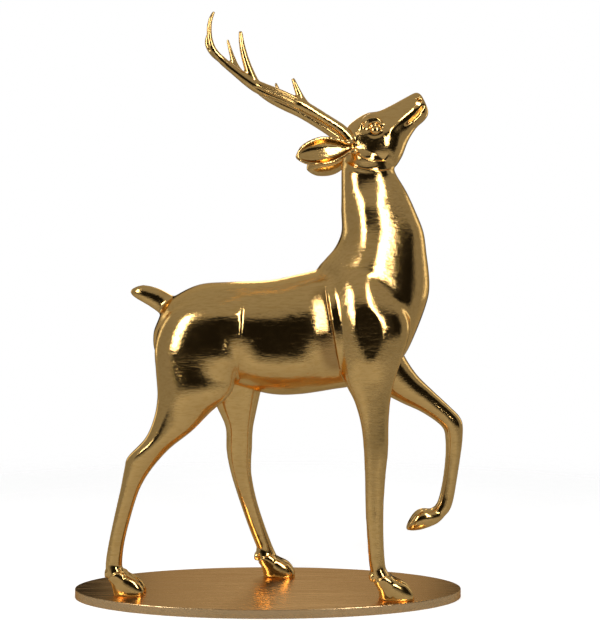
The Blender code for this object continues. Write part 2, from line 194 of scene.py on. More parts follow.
# each curtain fades out towards its edges
hang = weave.nodes.new("ShaderNodeTexCoord")
hang_parts = weave.nodes.new("ShaderNodeSeparateXYZ")
weave.links.new(hang.outputs["Object"], hang_parts.inputs[0])
from_edge = add_node(weave, "ShaderNodeAttribute", attribute_name="across")
body_of_cloth = None
for socket, (low, high) in ((hang_parts.outputs["Z"], FOOT_FADE), (hang_parts.outputs["Z"], HEAD_FADE),
                            (from_edge.outputs["Fac"], SIDE_FADE)):
    edge_fade = add_node(weave, "ShaderNodeMapRange", interpolation_type='SMOOTHSTEP',
                         values={"From Min": low, "From Max": high})
    weave.links.new(socket, edge_fade.inputs["Value"])
    if body_of_cloth is None:
        body_of_cloth = edge_fade.outputs["Result"]
    else:
        both = add_node(weave, "ShaderNodeMath", operation='MULTIPLY')
        weave.links.new(body_of_cloth, both.inputs[0])
        weave.links.new(edge_fade.outputs["Result"], both.inputs[1])
        body_of_cloth = both.outputs[0]
weave.links.new(body_of_cloth, cloth.inputs["Alpha"])
curtain_mesh.materials.append(curtain_cloth)

# A soft box is (azimuth, foot, top, width, glow): its heights, its width and its brightness.
BOX_RADIUS = 3.4
BOX_AIM = 1.0
SOFT_BOXES = {
    "left_box": (-43.0, 1.2, 3.6, 0.70, 8.0),
    "right_box": (31.0, 1.2, 4.1, 0.68, 8.0),
    "rear_right_box": (112.0, 0.8, 3.0, 0.8, 0.9),
    "rear_left_box": (248.0, 0.8, 3.0, 0.8, 0.9),
    "back_box": (180.0, 2.3, 3.7, 0.9, 2.5),
}


def soft_box(name, azimuth, low, high, width, glow):
    """One tall soft box, standing beside the statue and turned to it."""
    lamp = bpy.data.lights.new(name, 'AREA')
    lamp.shape = 'RECTANGLE'
    lamp.size = width
    lamp.size_y = high - low
    lamp.energy = glow * math.pi * width * (high - low)
    lamp_object = bpy.data.objects.new(name, lamp)
    spot = Vector((math.sin(math.radians(azimuth)) * BOX_RADIUS,
                   -math.cos(math.radians(azimuth)) * BOX_RADIUS, (low + high) / 2))
    lamp_object.location = spot
    lamp_object.rotation_euler = (Vector((0.0, 0.0, BOX_AIM)) - spot).to_track_quat('-Z', 'Y').to_euler()
    lamp_object.visible_camera = False
    bpy.context.collection.objects.link(lamp_object)


for name, box in SOFT_BOXES.items():
    soft_box(name, *box)

# The stag. One hollow casting in fiberglass, sanded, sealed and laid with polished gold leaf. It is
# modelled limb by limb as oval sections, fused into one skin, and then carved where the muscles, face,
# antlers and hooves need it.
STAG_HEIGHT = 2.1277
HEIGHT_IN_PARTS = 212.8
PART = STAG_HEIGHT / HEIGHT_IN_PARTS
SOLE_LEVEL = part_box("stag")[0].z
SOLE_OVERRUN = 1.5

# The form is drawn in parts of the stag's height, with z counted from the soles.
# A rib is (x, y, z, depth, width, turn): its centre, its depth fore and aft, its width across,
# and the angle in degrees that its depth line makes with +X as seen from the near side.
BARREL = (
    (-43.0, 0.0, 93.5, 8.0, 9.0, -90),
    (-41.4, 0.0, 94.2, 13.8, 15.0, -90),
    (-38.5, 0.0, 95.0, 24.5, 22.0, -90),
    (-33.0, 0.0, 95.3, 32.3, 27.5, -90),
    (-25.0, 0.0, 96.5, 36.5, 30.5, -90),
    (-14.0, 0.0, 96.1, 38.8, 32.0, -90),
    (1.0, 0.0, 94.6, 43.2, 33.5, -90),
    (12.0, 0.0, 95.7, 45.6, 34.0, -90),
    (24.0, 0.0, 97.7, 46.2, 33.0, -90),
    (36.0, 0.0, 98.8, 43.6, 31.0, -90),
    (46.0, 0.0, 101.0, 34.0, 26.0, -90),
    (52.0, 0.0, 102.5, 22.0, 18.0, -90),
)
NECK = (
    (36.5, 0.0, 170.0, 12.0, 9.0, 0),
    (37.5, 0.0, 163.0, 18.5, 12.5, 0),
    (37.9, 0.0, 157.0, 20.4, 13.5, 0),
    (40.1, 0.0, 149.4, 24.9, 15.5, 0),
    (41.8, 0.0, 141.8, 28.4, 18.0, 0),
    (43.3, 0.0, 134.3, 31.2, 20.5, 0),
    (42.6, 0.0, 127.0, 35.0, 23.5, -4),
    (41.2, 0.0, 122.0, 39.4, 26.0, -6),
    (39.8, 0.0, 116.5, 43.0, 28.0, -7),
    (41.1, 0.0, 108.2, 38.2, 29.5, -1),
    (40.9, 0.0, 97.4, 31.0, 28.0, 0),
    (40.4, 0.0, 87.5, 23.0, 22.0, 2),
    (40.0, 0.0, 82.0, 13.0, 12.0, 2),
)
HEAD = (
    (29.6, 0.0, 168.0, 5.0, 4.5, -80),
    (31.5, 0.0, 168.2, 12.5, 10.0, -78),
    (36.9, 0.0, 167.8, 20.0, 14.0, -71),
    (42.2, 0.0, 168.7, 23.2, 15.6, -66),
    (46.1, 0.0, 171.1, 19.8, 14.0, -64),
    (49.6, 0.0, 175.3, 15.1, 10.6, -63),
    (53.4, 0.0, 179.0, 12.2, 8.6, -64),
    (56.4, 0.0, 181.2, 11.2, 7.8, -63),
    (58.2, 0.0, 182.6, 10.0, 6.8, -64),
    (59.2, 0.0, 183.1, 7.4, 5.0, -65),
)
TAIL = (
    (-34.5, 0.0, 104.0, 8.6, 6.0, -121),
    (-38.6, 0.0, 106.8, 8.6, 5.8, -121),
    (-43.2, 0.0, 109.6, 7.9, 5.4, -116),
    (-48.4, 0.0, 111.6, 6.2, 4.6, -114),
    (-51.2, 0.0, 112.0, 3.4, 3.0, -115),
    (-52.2, 0.0, 112.3, 1.4, 1.3, -115),
)
NEAR_HIND_LEG = (
    (-22.5, -6.5, 110.0, 16.0, 9.0, 8),
    (-24.0, -8.5, 104.0, 28.0, 15.0, 9),
    (-25.5, -9.8, 93.7, 32.0, 17.0, 7),
    (-25.7, -10.6, 83.0, 30.6, 15.5, 5),
    (-26.6, -11.0, 73.5, 27.6, 12.8, 3),
    (-31.0, -11.2, 66.0, 21.6, 10.4, 7),
    (-36.1, -11.2, 58.8, 17.9, 8.8, 9),
    (-43.6, -11.0, 52.0, 15.2, 7.4, 9),
    (-47.3, -10.6, 46.4, 10.4, 6.4, 0),
    (-50.5, -10.2, 38.4, 7.2, 5.4, 0),
    (-53.6, -9.7, 27.2, 6.2, 4.8, 0),
    (-55.7, -9.2, 18.0, 5.9, 4.8, 0),
    (-56.6, -9.0, 11.0, 6.1, 5.6, 0),
    (-56.2, -9.0, 7.0, 6.4, 6.0, 0),
)
FAR_HIND_LEG = (
    (-23.0, 6.5, 110.0, 16.0, 9.0, 8),
    (-23.5, 8.5, 104.0, 27.0, 15.0, 9),
    (-21.5, 10.2, 93.0, 29.0, 16.0, 9),
    (-17.0, 11.6, 83.0, 26.0, 14.0, 11),
    (-13.2, 12.4, 74.5, 21.0, 12.0, 11),
    (-12.2, 12.9, 66.0, 15.3, 9.8, 6),
    (-11.7, 13.3, 58.9, 11.0, 8.0, 0),
    (-11.8, 13.8, 51.0, 10.3, 7.0, 0),
    (-11.6, 14.2, 45.5, 9.2, 6.4, 2),
    (-10.8, 14.7, 39.5, 7.9, 5.6, 6),
    (-8.4, 15.4, 30.0, 6.8, 5.0, 10),
    (-5.1, 16.2, 19.8, 6.4, 4.8, 12),
    (-2.2, 16.8, 12.0, 6.2, 5.4, 8),
    (-0.6, 17.0, 7.6, 7.0, 6.0, 4),
)
NEAR_FORELEG = (
    (35.2, -5.5, 122.0, 11.0, 8.0, -14),
    (36.0, -8.6, 115.5, 22.0, 12.5, -14),
    (37.4, -10.9, 106.0, 28.0, 15.5, -9),
    (38.6, -11.8, 97.0, 27.6, 16.0, -1),
    (38.3, -12.0, 87.0, 23.2, 14.0, 4),
    (37.8, -12.2, 78.5, 18.5, 11.8, 5),
    (38.6, -12.6, 71.3, 13.4, 9.6, 3),
    (39.4, -13.0, 62.5, 10.3, 8.0, 0),
    (39.8, -13.4, 53.4, 9.1, 7.2, 0),
    (39.5, -13.8, 44.3, 7.7, 6.0, 0),
    (39.2, -14.3, 31.5, 6.7, 5.0, 0),
    (39.6, -14.8, 19.0, 6.0, 4.8, 0),
    (40.2, -15.0, 11.5, 5.9, 5.4, 0),
    (41.2, -15.0, 8.0, 6.4, 6.0, 0),
)
FAR_FORELEG = (
    (34.0, 5.5, 121.0, 11.0, 8.0, -14),
    (35.0, 8.6, 114.0, 22.0, 12.5, -10),
    (37.5, 10.9, 104.0, 27.0, 15.0, 8),
    (41.5, 11.9, 93.5, 25.5, 15.0, 36),
    (47.0, 12.6, 82.5, 19.5, 13.0, 62),
    (54.4, 13.3, 74.7, 13.3, 10.2, 64),
    (61.8, 13.8, 69.3, 9.8, 8.0, 55),
    (68.4, 14.0, 64.1, 8.3, 7.2, 44),
    (72.2, 14.0, 59.9, 8.2, 7.0, 28),
    (72.7, 14.0, 54.4, 7.0, 6.2, 8),
    (72.2, 14.0, 47.0, 6.0, 5.2, 0),
    (71.0, 14.0, 38.2, 5.7, 4.7, 0),
    (69.6, 14.0, 31.0, 5.9, 4.8, -8),
    (68.1, 14.0, 27.2, 6.0, 5.4, -22),
    (65.4, 14.0, 24.8, 6.0, 5.8, -40),
)
# The lifted hoof folds back under the knee and ends in a point.
LIFTED_HOOF = (
    (66.2, 14.0, 25.2, 5.8, 4.6, -34),
    (64.0, 14.0, 24.2, 6.8, 5.0, -52),
    (61.4, 14.0, 23.5, 7.4, 5.0, -62),
    (58.3, 14.0, 22.1, 6.5, 4.8, -70),
    (55.6, 14.0, 20.5, 3.9, 3.8, -78),
    (53.9, 14.0, 19.1, 1.3, 1.4, -80),
)
LIFTED_TOE_OFFSETS = (0.8, 1.5, 1.95, 2.1, 1.6, 0.6)

# Standing hooves: (height, heel, toe), with heel and toe counted from the ankle's own x. Each
# hoof has two toes side by side. An ankle is (x, y, reach), and its reach scales the toes.
HOOF_PROFILE = (
    (10.5, -2.8, 2.8),
    (8.6, -2.5, 4.0),
    (7.0, -2.1, 6.6),
    (5.2, -1.2, 10.0),
    (3.0, -0.3, 11.9),
    (1.0, 0.2, 12.7),
    (-SOLE_OVERRUN, 0.4, 12.6),
)
HOOF_HALF_WIDTHS = (2.6, 2.5, 2.4, 2.35, 2.35, 2.3, 2.3)
TOE_OFFSETS = (0.3, 0.9, 1.5, 1.95, 2.2, 2.35, 2.4)
# Two small dewclaws stand at the back of each ankle, each a ball: (back, out to the side, height) and
# its diameters.
DEWCLAW = ((-2.5, 1.5, 7.6), (2.2, 1.9, 3.2))
ANKLES = ((-56.6, -9.0, 0.92), (-2.6, 17.0, 1.0), (40.6, -15.0, 1.0))

# An antler is a beam and two tines, each a path of (x, y, z, thickness). The near and the far
# antler differ a little: the far one rises more steeply and its tines stand further back.
NEAR_ANTLER = (
    (
        (31.5, -3.6, 167.5, 5.6),
        (27.6, -4.6, 171.7, 4.7),
        (21.4, -6.0, 175.6, 4.3),
        (14.9, -7.4, 179.1, 4.6),
        (6.4, -8.8, 183.0, 4.7),
        (-2.0, -9.9, 186.0, 4.8),
        (-6.3, -10.4, 188.2, 4.1),
        (-11.1, -10.9, 191.7, 3.4),
        (-16.5, -11.5, 196.1, 3.0),
        (-19.6, -12.6, 199.6, 2.6),
        (-20.8, -13.5, 203.6, 2.2),
        (-20.9, -14.2, 207.4, 1.9),
        (-20.2, -14.6, 210.6, 1.6),
        (-19.0, -14.8, 212.9, 1.1),
    ),
    (
        (16.9, -7.0, 178.0, 3.2),
        (13.3, -7.6, 181.6, 3.2),
        (11.2, -7.9, 185.8, 2.4),
        (9.4, -8.0, 190.4, 1.4),
    ),
    (
        (-2.8, -9.9, 185.4, 3.6),
        (-5.4, -10.3, 189.6, 3.7),
        (-7.7, -10.7, 195.8, 2.9),
        (-9.2, -10.9, 201.8, 2.3),
        (-9.7, -11.0, 206.9, 1.5),
    ),
)
FAR_ANTLER = (
    (
        (31.5, 3.6, 168.5, 5.6),
        (27.2, 4.6, 171.6, 5.0),
        (21.2, 6.0, 175.9, 4.6),
        (12.5, 7.8, 181.4, 4.4),
        (6.0, 8.9, 184.6, 4.2),
        (0.0, 9.7, 188.0, 4.0),
        (-6.0, 10.4, 192.7, 3.5),
        (-11.5, 10.8, 197.4, 3.0),
        (-17.0, 11.0, 201.4, 2.8),
        (-21.8, 11.0, 205.2, 2.6),
        (-24.0, 10.4, 209.0, 2.2),
        (-23.4, 9.2, 212.6, 1.2),
    ),
    (
        (8.6, 8.4, 183.6, 3.0),
        (5.2, 8.8, 187.0, 2.6),
        (3.7, 9.0, 190.0, 1.9),
        (2.6, 9.0, 193.2, 1.1),
    ),
    (
        (-9.4, 10.6, 195.6, 3.0),
        (-12.5, 10.8, 199.2, 2.8),
        (-14.5, 10.9, 204.4, 2.0),
        (-16.2, 10.9, 210.6, 1.1),
    ),
)

# An ear is a cupped leaf: (share of its length, breadth, cup depth), with a wall of its own.
EAR_LEAF = (
    (0.00, 4.2, 3.4),
    (0.12, 5.2, 4.0),
    (0.28, 8.6, 4.8),
    (0.46, 11.0, 5.2),
    (0.62, 11.2, 4.8),
    (0.78, 9.6, 3.8),
    (0.91, 6.6, 2.6),
    (1.00, 1.6, 1.4),
)
EAR_WALL = 1.3
EAR_WALL_OF_BREADTH = 0.4
EAR_WALL_OF_CUP = 0.6
NEAR_EAR = ((32.5, -5.5, 165.2), (10.6, -12.6, 160.2))
FAR_EAR = ((32.5, 5.5, 165.4), (14.8, 15.0, 160.5))
EAR_FACE_UP = 12.0
EAR_ARC_POINTS = 17
EAR_RIDGE = 0.5
EAR_RIDGE_BREADTH = 0.12

# The brow ridge over each eye and the eyeball: (centre, diameters), y counted outwards.
BROW = ((39.2, 5.6, 174.2), (7.5, 4.4, 4.6))
EYEBALL = ((40.2, 6.9, 171.4), (4.2, 3.2, 3.6))
BALL_STEPS = 4
LEAST_BREADTH = 0.2
OVAL_SIDES = 40
BRANCH_SIDES = 20
RINGS_PER_SPAN = 6


def place(x, y, z):
    """A point of the stag's form, from parts to metres."""
    return Vector((x * PART, y * PART, SOLE_LEVEL + z * PART))


def smooth_rows(rows, steps):
    """Rows of numbers, with more rows between them on a smooth curve through each column."""
    result = []
    last = len(rows) - 1
    for index in range(last):
        before = rows[max(index - 1, 0)]
        start = rows[index]
        end = rows[index + 1]
        after = rows[min(index + 2, last)]
        for step in range(steps):
            t = step / steps
            result.append(tuple(
                0.5 * (2 * b + (c - a) * t + (2 * a - 5 * b + 4 * c - d) * t ** 2
                       + (3 * b - a - 3 * c + d) * t ** 3)
                for a, b, c, d in zip(before, start, end, after)))
    result.append(tuple(rows[last]))
    return result


def section(bm, matrix, sides, closed_off):
    """One ring of a limb, with a face on it where the limb ends."""
    made = bmesh.ops.create_circle(bm, cap_ends=closed_off, segments=sides, radius=1.0, matrix=matrix)
    return list(dict.fromkeys(edge for vert in made["verts"] for edge in vert.link_edges))


def bridge_along(bm, rings, whole):
    """Join each ring to the next and add the closed limb to the whole."""
    for lower, upper in zip(rings, rings[1:]):
        bmesh.ops.bridge_loops(bm, edges=lower + upper)
    mesh = bpy.data.meshes.new("limb")
    bm.to_mesh(mesh)
    bm.free()
    whole.from_mesh(mesh)
    bpy.data.meshes.remove(mesh)


def limb(whole, ribs):
    """A limb or the trunk: oval sections across the ribs."""
    bm = bmesh.new()
    rows = smooth_rows(ribs, RINGS_PER_SPAN)
    rings = []
    for index, (x, y, z, depth, width, turn) in enumerate(rows):
        lie = Matrix.Rotation(-math.radians(turn), 4, 'Y')
        oval = Matrix.Diagonal((max(depth, LEAST_BREADTH) / 2 * PART,
                                max(width, LEAST_BREADTH) / 2 * PART, 1.0, 1.0))
        rings.append(section(bm, Matrix.Translation(place(x, y, z)) @ lie @ oval, OVAL_SIDES,
                             index in (0, len(rows) - 1)))
    bridge_along(bm, rings, whole)


def branch(whole, path):
    """A round, tapering branch of an antler."""
    bm = bmesh.new()
    rows = smooth_rows(path, RINGS_PER_SPAN)
    centres = [place(row[0], row[1], row[2]) for row in rows]
    rings = []
    side = Vector((0.0, 1.0, 0.0))
    for index, row in enumerate(rows):
        ahead = (centres[min(index + 1, len(rows) - 1)] - centres[max(index - 1, 0)]).normalized()
        side = (side - ahead * side.dot(ahead)).normalized()
        radius = row[3] / 2 * PART
        turn = Matrix((side, ahead.cross(side), ahead)).transposed().to_4x4()
        rings.append(section(bm, Matrix.Translation(centres[index]) @ turn
                             @ Matrix.Diagonal((radius, radius, 1.0, 1.0)), BRANCH_SIDES,
                             index in (0, len(rows) - 1)))
    bridge_along(bm, rings, whole)


def hoof(whole, ankle_x, ankle_y, reach):
    """A cloven hoof: two toes side by side, cut flat later at the soles."""
    for side in (-1, 1):
        ribs = []
        for (height, heel, toe), half_width, offset in zip(HOOF_PROFILE, HOOF_HALF_WIDTHS, TOE_OFFSETS):
            toe_reach = toe * reach
            ribs.append((ankle_x + (heel + toe_reach) / 2, ankle_y + side * offset, height,
                         toe_reach - heel, 2 * half_width, 0))
        limb(whole, ribs)


def lifted_hoof(whole):
    """The folded hoof, its two toes side by side."""
    for side in (-1, 1):
        limb(whole, [(x, y + side * offset, z, depth, width, turn)
                  for (x, y, z, depth, width, turn), offset in zip(LIFTED_HOOF, LIFTED_TOE_OFFSETS)])


def ear(whole, root, tip, side):
    """A cupped leaf that opens outwards: each section is a ring bent into a crescent."""
    bm = bmesh.new()
    start = place(*root)
    axis = place(*tip) - start
    ahead = axis.normalized()
    face = Vector((0.0, side * math.cos(math.radians(EAR_FACE_UP)), math.sin(math.radians(EAR_FACE_UP))))
    face = (face - ahead * face.dot(ahead)).normalized()
    across = ahead.cross(face)
    rows = smooth_rows(EAR_LEAF, RINGS_PER_SPAN)
    rings = []
    for index, (share, breadth, cup) in enumerate(rows):
        centre = start + axis * share
        half = breadth / 2 * PART
        deep = cup * PART
        wall = min(EAR_WALL, breadth * EAR_WALL_OF_BREADTH, cup * EAR_WALL_OF_CUP) * PART
        made = bmesh.ops.create_circle(bm, cap_ends=index in (0, len(rows) - 1),
                                       segments=2 * EAR_ARC_POINTS, radius=1.0)
        for step, vert in enumerate(made["verts"]):
            outer = step < EAR_ARC_POINTS
            share_round = (step if outer else 2 * EAR_ARC_POINTS - 1 - step) / (EAR_ARC_POINTS - 1)
            angle = math.pi * share_round
            thin = 0.0 if outer else wall
            from_middle = (share_round - 0.5) / EAR_RIDGE_BREADTH
            ridge = 0.0 if outer else EAR_RIDGE * PART * math.exp(-from_middle ** 2)
            vert.co = (centre + across * (math.cos(angle) * (half - thin))
                       + face * (deep / 2 - math.sin(angle) * (deep - thin) + ridge))
        rings.append(list(dict.fromkeys(edge for vert in made["verts"] for edge in vert.link_edges)))
    bridge_along(bm, rings, whole)


def oval_ball(bm, centre, size):
    """A small rounded mass, given by its centre and its three diameters in parts."""
    scale = Matrix.Diagonal((size[0] / 2 * PART, size[1] / 2 * PART, size[2] / 2 * PART, 1.0))
    bmesh.ops.create_icosphere(bm, subdivisions=BALL_STEPS, radius=1.0,
                               matrix=Matrix.Translation(place(*centre)) @ scale)


def applied(thing):
    """A plain mesh of the object with its modifiers applied."""
    graph = bpy.context.evaluated_depsgraph_get()
    graph.update()
    return bpy.data.meshes.new_from_object(thing.evaluated_get(graph), depsgraph=graph)


def settle(thing):
    """Apply the object's modifiers and keep the result as its mesh."""
    mesh = applied(thing)
    thing.modifiers.clear()
    old = thing.data
    thing.data = mesh
    bpy.data.meshes.remove(old)
    mesh.name = thing.name


# Fused, the skin is softened most on the big muscles and least on the antlers, ears and hooves.
FUSE_GRID = 0.0040
SOFT_ALL = 3
SOFT_MUSCLE = 50
SOFT_BLEND = 110
SOFT_FINE = 18
SOFT_FINEST = 8
SOFT_FACTOR = 0.5
LIMB_SHARE = 0.35
LEAST_FINE_SHARE = 0.3
FINE_HEAD_FROM = 152.0
SKIN_TRIANGLES = 192000

stag_bm = bmesh.new()
for ribs in (BARREL, NECK, HEAD, TAIL, NEAR_HIND_LEG, FAR_HIND_LEG, NEAR_FORELEG, FAR_FORELEG):
    limb(stag_bm, ribs)
for ankle_x, ankle_y, reach in ANKLES:
    hoof(stag_bm, ankle_x, ankle_y, reach)
    (behind, out_y, z), diameters = DEWCLAW
    for side in (-1, 1):
        oval_ball(stag_bm, (ankle_x + behind, ankle_y + side * out_y, z), diameters)
lifted_hoof(stag_bm)
for side, (root, tip), paths in ((-1, NEAR_EAR, NEAR_ANTLER), (1, FAR_EAR, FAR_ANTLER)):
    for path in paths:
        branch(stag_bm, path)
    ear(stag_bm, root, tip, side)
    (x, out_y, z), diameters = BROW
    oval_ball(stag_bm, (x, side * out_y, z), diameters)
bmesh.ops.recalc_face_normals(stag_bm, faces=stag_bm.faces)
stag_mesh = bpy.data.meshes.new("stag_skin")
stag_bm.to_mesh(stag_mesh)
stag_bm.free()
stag = bpy.data.objects.new("stag_skin", stag_mesh)
bpy.context.collection.objects.link(stag)

fuse = stag.modifiers.new("fuse", 'REMESH')
fuse.mode = 'VOXEL'
fuse.voxel_size = FUSE_GRID
soften = stag.modifiers.new("soften", 'SMOOTH')
soften.factor = SOFT_FACTOR
soften.iterations = SOFT_ALL
settle(stag)


def points_of(mesh):
    """The mesh's points as an array."""
    co = np.empty(len(mesh.vertices) * 3)
    mesh.vertices.foreach_get("co", co)
    return co.reshape(-1, 3)


def normals_of(mesh):
    """The mesh's point normals as an array."""
    values = np.empty(len(mesh.vertices) * 3)
    mesh.vertex_normals.foreach_get("vector", values)
    return values.reshape(-1, 3)


def set_points(mesh, co):
    """Put the array back as the mesh's points."""
    mesh.vertices.foreach_set("co", co.ravel())
    mesh.update()


def in_parts(co):
    """Points in parts of the stag's height, z from the soles."""
    return (co - np.array((0.0, 0.0, SOLE_LEVEL))) / PART


def ease(values, low, high):
    """0 below low, 1 above high and smooth between, the other way round if low is above high."""
    t = np.clip((values - low) / (high - low), 0.0, 1.0)
    return t * t * (3 - 2 * t)


def soften_where(thing, weights, passes):
    """Smooth the skin by the weights, 0 to 1, one per point."""
    group = thing.vertex_groups.new(name="soft")
    levels = np.round(weights * 10).astype(int)
    for level in range(1, 11):
        chosen = np.nonzero(levels == level)[0]
        if len(chosen):
            group.add(chosen.tolist(), level / 10, 'REPLACE')
    smooth = thing.modifiers.new("smooth", 'SMOOTH')
    smooth.vertex_group = group.name
    smooth.factor = SOFT_FACTOR
    smooth.iterations = passes
    settle(thing)
    thing.vertex_groups.clear()


at = in_parts(points_of(stag.data))
trunk = ease(at[:, 2], 44.0, 60.0) * ease(at[:, 2], 163.0, 150.0)
limbs = LIMB_SHARE * ease(at[:, 2], 13.0, 22.0) * ease(at[:, 2], 163.0, 150.0)
soften_where(stag, np.maximum(trunk, limbs), SOFT_MUSCLE)

# Thigh and barrel, and shoulder, neck and back, run into each other without a seam.
at = in_parts(points_of(stag.data))
thigh = (ease(at[:, 0], -24.0, -19.0) * ease(at[:, 0], -4.0, -9.0)
         * ease(at[:, 2], 74.0, 82.0) * ease(at[:, 2], 116.0, 110.0))
withers = (ease(at[:, 0], 8.0, 16.0) * ease(at[:, 0], 56.0, 48.0)
           * ease(at[:, 2], 102.0, 108.0) * ease(at[:, 2], 142.0, 134.0))
soften_where(stag, np.maximum(thigh, withers) * ease(np.abs(at[:, 1]), 3.0, 6.0), SOFT_BLEND)


def refine(thing, wanted):
    """Split the skin's edges in two where wanted, a test of an edge's middle in parts."""
    bm = bmesh.new()
    bm.from_mesh(thing.data)
    edges = []
    for edge in bm.edges:
        middle = (edge.verts[0].co + edge.verts[1].co) / 2
        if wanted(middle.x / PART, middle.y / PART, (middle.z - SOLE_LEVEL) / PART):
            edges.append(edge)
    bmesh.ops.subdivide_edges(bm, edges=edges, cuts=1, use_grid_fill=True, smooth=0.0)
    bm.to_mesh(thing.data)
    bm.free()


def fine_skin(x, y, z):
    """The head, the antlers, the ears and the hooves."""
    return z > FINE_HEAD_FROM or z < 12.0 or (50.0 < x < 71.0 and 14.0 < z < 29.0)


def finest_skin(x, y, z):
    """The face and cheeks, and the fluted beams between the tines."""
    face = 31.0 < x and 156.0 < z < 187.0
    flutes = -8.0 < x < 14.0 and 176.0 < z < 198.0
    return face or flutes


# The head, the antlers, the ears and the hooves get a finer skin for their carving.
refine(stag, fine_skin)
at = in_parts(points_of(stag.data))
fine = np.maximum(ease(at[:, 2], FINE_HEAD_FROM - 1, FINE_HEAD_FROM + 3), ease(at[:, 2], 14.0, 11.0))
soften_where(stag, np.maximum(fine, LEAST_FINE_SHARE), SOFT_FINE)
refine(stag, finest_skin)
at = in_parts(points_of(stag.data))
soften_where(stag, ease(at[:, 2], 154.0, 157.0), SOFT_FINEST)


def along_path(px, pz, path):
    """For each point its distance from a path of (x, z), its signed distance and its share along."""
    lengths = [math.dist(a, b) for a, b in zip(path, path[1:])]
    total = sum(lengths)
    nearest = np.full(len(px), 1e9)
    signed = np.zeros(len(px))
    share = np.zeros(len(px))
    passed = 0.0
    for (ax, az), (bx, bz), length in zip(path, path[1:], lengths):
        ux = (bx - ax) / length
        uz = (bz - az) / length
        run = np.clip((px - ax) * ux + (pz - az) * uz, 0.0, length)
        dx = px - ax - run * ux
        dz = pz - az - run * uz
        distance = np.hypot(dx, dz)
        closer = distance < nearest
        nearest = np.where(closer, distance, nearest)
        signed = np.where(closer, np.sign(ux * dz - uz * dx) * distance, signed)
        share = np.where(closer, (passed + run) / total, share)
        passed += length
    return nearest, signed, share


SIDE_FADE_OUT = 0.4
STROKE_REACH = 2.6


def stroke(at, facing, side, path, width, depth, fade=0.18, least_out=0.4, spread=0.0):
    """How far one carving stroke lifts each point, in parts: down for a groove, up for a ridge.

    With a spread it is a step instead: the ground on the path's left rises across the width and
    sinks back over the spread."""
    rows = smooth_rows(path, RINGS_PER_SPAN)
    reach = max(width, spread) * STROKE_REACH
    xs = [row[0] for row in rows]
    zs = [row[1] for row in rows]
    near = np.nonzero((at[:, 0] > min(xs) - reach) & (at[:, 0] < max(xs) + reach)
                      & (at[:, 2] > min(zs) - reach) & (at[:, 2] < max(zs) + reach)
                      & (side * at[:, 1] > least_out - SIDE_FADE_OUT))[0]
    nearest, signed, share = along_path(at[near, 0], at[near, 2], rows)
    if spread:
        lift = ease(signed, -width / 2, width / 2) * np.exp(-(np.maximum(signed, 0.0) / spread) ** 2)
    else:
        lift = np.exp(-(nearest / width) ** 2)
    if fade:
        lift = lift * np.minimum(ease(share, 0.0, fade), ease(share, 1.0, 1.0 - fade))
    out = side * at[near, 1]
    lift = lift * ease(side * facing[near, 1], 0.0, 0.35) * ease(out, least_out - SIDE_FADE_OUT, least_out)
    result = np.zeros(len(at))
    result[near] = depth * lift
    return result


def carve(thing, strokes):
    """Lay strokes on the skin along its own normals, and keep how deep each point was cut."""
    mesh = thing.data
    co = points_of(mesh)
    facing = normals_of(mesh)
    at = in_parts(co)
    lift = np.zeros(len(co))
    for one in strokes:
        lift += stroke(at, facing, **one)
    set_points(mesh, co + facing * (lift * PART)[:, None])
    return lift


# The face. Each line is a path of (x, z), carved on both sides of the head.
MOUTH = ((59.4, 182.0), (58.2, 180.8), (56.6, 178.9), (54.8, 176.7), (52.6, 174.6), (50.8, 173.4))
LOWER_LIP = ((58.4, 178.8), (56.4, 176.6), (54.3, 174.6))
MUZZLE_EDGE = ((56.6, 181.6), (53.2, 178.6), (49.6, 175.2), (46.4, 171.9), (43.8, 168.6))
BROW_OUTER = ((34.6, 171.4), (34.9, 173.6), (36.1, 175.9), (38.3, 177.4), (40.6, 177.1), (42.4, 175.6))
BROW_INNER = ((35.9, 171.6), (36.4, 173.7), (37.8, 175.3), (39.9, 175.7), (41.9, 174.7), (43.2, 173.2))
LID_TOP = ((36.6, 170.4), (37.5, 172.4), (39.6, 173.8), (41.8, 173.2), (43.2, 171.6), (44.0, 171.2))
LID_LOW = ((37.2, 170.6), (38.4, 169.5), (40.2, 169.2), (42.0, 169.9), (43.2, 171.2))
CHEEK = ((36.2, 161.4), (38.4, 162.4))
CHEEK_EDGE = ((45.4, 163.0), (43.4, 160.6), (40.2, 160.0), (37.0, 160.5), (34.0, 161.9), (31.0, 164.2))
COLLAR = ((47.0, 158.2), (43.0, 156.5), (38.0, 156.7), (34.2, 157.5), (31.1, 159.0), (28.6, 161.2))
NOSTRIL = ((56.2, 184.4), (56.9, 183.5), (57.9, 183.3))

FACE = []
for side in (-1, 1):
    FACE += [
        dict(side=side, path=MOUTH, width=0.45, depth=-0.7),
        dict(side=side, path=LOWER_LIP, width=0.8, depth=0.35),
        dict(side=side, path=MUZZLE_EDGE, width=1.5, depth=0.55),
        dict(side=side, path=BROW_OUTER, width=0.62, depth=0.6),
        dict(side=side, path=BROW_INNER, width=0.5, depth=0.55),
        dict(side=side, path=LID_TOP, width=0.6, depth=-0.55, fade=0.25),
        dict(side=side, path=LID_LOW, width=0.6, depth=-0.3, fade=0.35),
        dict(side=side, path=CHEEK, width=3.7, depth=1.1, fade=0.0, least_out=1.2),
        dict(side=side, path=CHEEK_EDGE, width=0.7, depth=0.6, spread=2.2, least_out=1.2),
        dict(side=side, path=COLLAR, width=0.6, depth=0.6, spread=1.6, least_out=1.0),
        dict(side=side, path=NOSTRIL, width=0.5, depth=-1.0, least_out=0.8),
    ]

